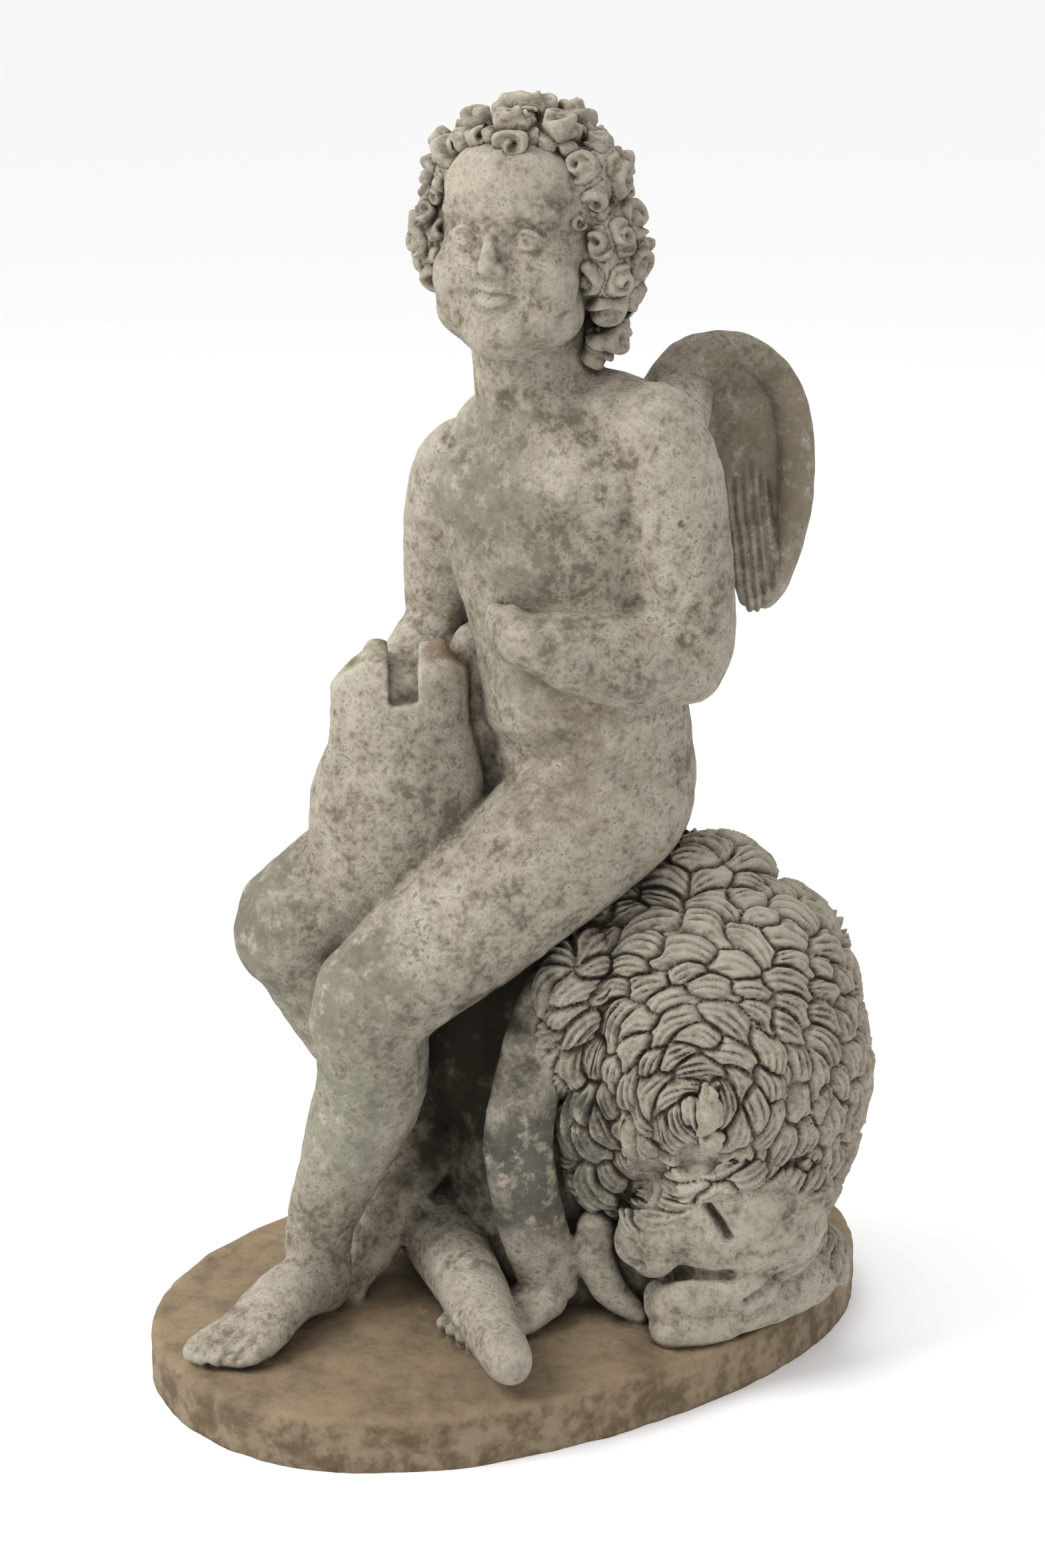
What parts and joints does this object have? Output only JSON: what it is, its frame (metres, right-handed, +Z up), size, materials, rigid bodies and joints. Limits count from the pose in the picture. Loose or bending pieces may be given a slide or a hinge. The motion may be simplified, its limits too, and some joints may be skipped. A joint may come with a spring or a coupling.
{
  "type": "garden statue of a seated winged putto",
  "caption": "Weathered stone putto seated on a rock draped with a maned lion skin, a broken lyre on its thigh and a club at its feet, carved in one with an oval base.",
  "frame": {"origin": "centre of the oval base's underside", "axes": "+Z up; -Y the way the feet point, along the base's long axis; +X the figure's own left, the lion's head side"},
  "size_m": [0.3902, 0.5518, 0.9051],
  "materials": {
    "weathered_stone": "matt, weathered and lichened"
  },
  "bodies": {
    "root": {"putto_statue": "weathered_stone"}
  },
  "joints": []
}
